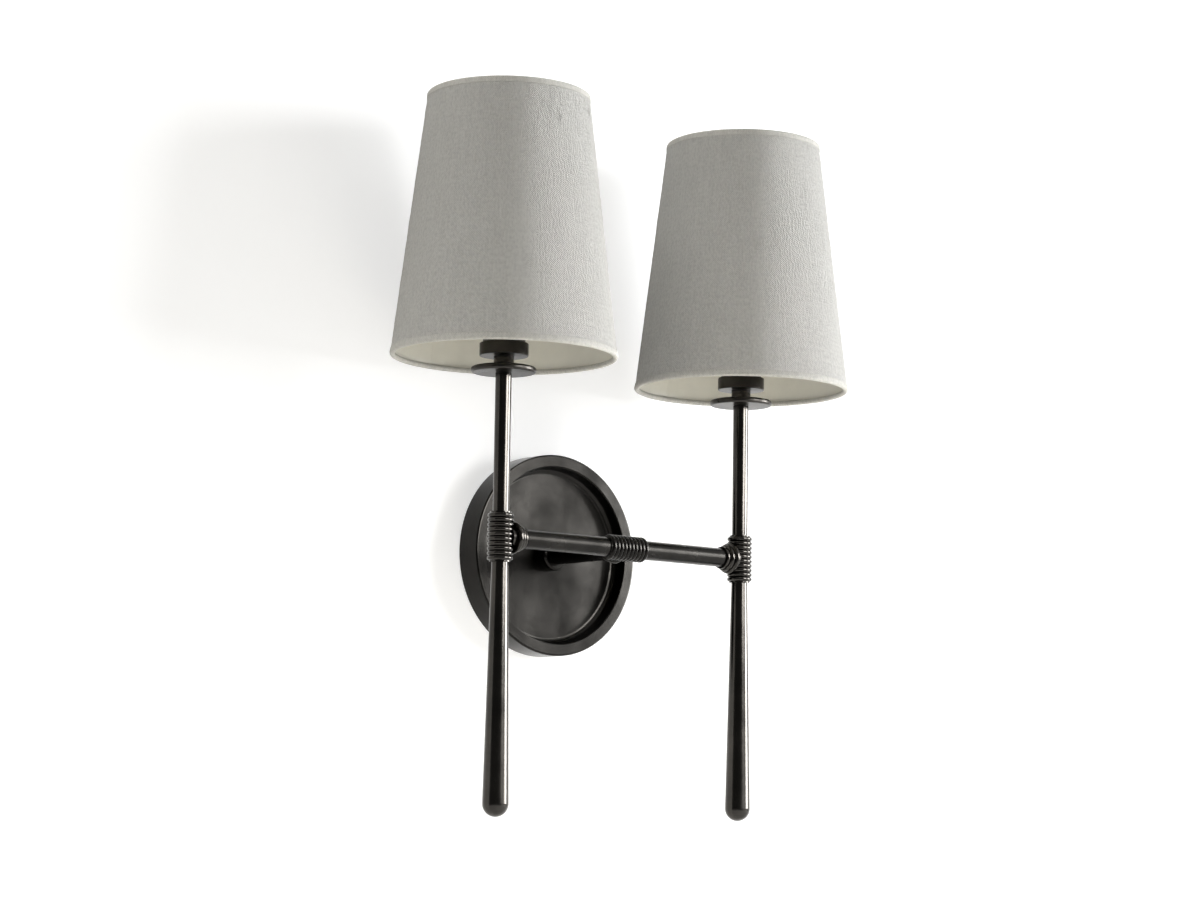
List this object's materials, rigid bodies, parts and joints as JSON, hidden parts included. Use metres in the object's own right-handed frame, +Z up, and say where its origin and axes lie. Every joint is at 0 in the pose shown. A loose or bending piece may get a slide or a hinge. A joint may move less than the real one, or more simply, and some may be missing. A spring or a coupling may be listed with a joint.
{
  "type": "double arm wall sconce",
  "caption": "Wall light with a round dish plate, an arm to a crossbar, uprights with ribbed tees, and tapered linen shades that turn and lift off.",
  "frame": {"origin": "centre of the wall plate on the wall plane, between the slots for the wall box screws", "axes": "+X to the right seen from the room, +Y into the wall, +Z up; the object lies at y <= 0"},
  "size_m": [0.3356, 0.1548, 0.4416],
  "materials": {
    "bronze_dark": "dark bronze, satin, lightly brushed",
    "zinc_steel": "zinc plated",
    "green_steel": "green ground screw",
    "moulded_black": "moulded, matt",
    "brass": "plain brass",
    "lead_insulation": "flexible insulation",
    "linen": "off-white slubbed linen",
    "linen_trim": "folded linen tape",
    "shade_liner": "cream translucent liner",
    "white_wire": "white lacquered wire",
    "bulb_glass": "clear",
    "nickel": "nickel plated cap",
    "solder": "solder contact",
    "filament": "glass post with coated filaments"
  },
  "bodies": {
    "fixture": {"arm_boss": "bronze_dark", "arm_lock_washer": "zinc_steel", "arm_nipples": "zinc_steel", "arm_nut": "zinc_steel", "backplate": "bronze_dark", "centre_tee": "bronze_dark", "crossbar_nipples": "zinc_steel", "ground_screw": "green_steel", "holder_nuts": "zinc_steel", "lamp_nipples": "zinc_steel", "left_centre_contact": "brass", "left_crossbar": "bronze_dark", "left_drip_disc": "bronze_dark", "left_holder_cup": "bronze_dark", "left_lampholder": "moulded_black", "left_leads": "lead_insulation", "left_lower_rod": "bronze_dark", "left_screw_shell": "brass", "left_seat_ring": "moulded_black", "left_sleeve": "bronze_dark", "left_stem": "bronze_dark", "left_tee": "bronze_dark", "plate_set_screws": "bronze_dark", "right_centre_contact": "brass", "right_crossbar": "bronze_dark", "right_drip_disc": "bronze_dark", "right_holder_cup": "bronze_dark", "right_lampholder": "moulded_black", "right_leads": "lead_insulation", "right_lower_rod": "bronze_dark", "right_screw_shell": "brass", "right_seat_ring": "moulded_black", "right_sleeve": "bronze_dark", "right_stem": "bronze_dark", "right_tee": "bronze_dark", "stem_nipples": "zinc_steel", "wall_arm": "bronze_dark", "wall_pan": "zinc_steel"},
    "left_ring": {"left_shade_ring": "moulded_black"},
    "left_shade": {"left_shade_cover": "linen", "left_shade_liner": "shade_liner", "left_shade_bottom_ring": "white_wire", "left_shade_spider": "white_wire", "left_shade_trims": "linen_trim"},
    "left_bulb": {"left_bulb_glass": "bulb_glass", "left_bulb_cap": "nickel", "left_bulb_tip": "solder", "left_bulb_core": "filament"},
    "right_ring": {"right_shade_ring": "moulded_black"},
    "right_shade": {"right_shade_cover": "linen", "right_shade_liner": "shade_liner", "right_shade_bottom_ring": "white_wire", "right_shade_spider": "white_wire", "right_shade_trims": "linen_trim"},
    "right_bulb": {"right_bulb_glass": "bulb_glass", "right_bulb_cap": "nickel", "right_bulb_tip": "solder", "right_bulb_core": "filament"}
  },
  "joints": [
    {"name": "left_shade_lift", "type": "slide", "parent": "fixture", "child": "left_ring", "axis": [0, 0, 1], "range_m": [0, 0.12]},
    {"name": "left_shade_turn", "type": "hinge", "parent": "left_ring", "child": "left_shade", "pos_m": [-0.098, -0.085, 0.1346], "axis": [0, 0, 1], "continuous": true},
    {"name": "left_bulb_lift", "type": "slide", "parent": "fixture", "child": "left_bulb", "axis": [0, 0, 1], "range_m": [0, 0.15]},
    {"name": "right_shade_lift", "type": "slide", "parent": "fixture", "child": "right_ring", "axis": [0, 0, 1], "range_m": [0, 0.12]},
    {"name": "right_shade_turn", "type": "hinge", "parent": "right_ring", "child": "right_shade", "pos_m": [0.098, -0.085, 0.1346], "axis": [0, 0, 1], "continuous": true},
    {"name": "right_bulb_lift", "type": "slide", "parent": "fixture", "child": "right_bulb", "axis": [0, 0, 1], "range_m": [0, 0.15]}
  ]
}
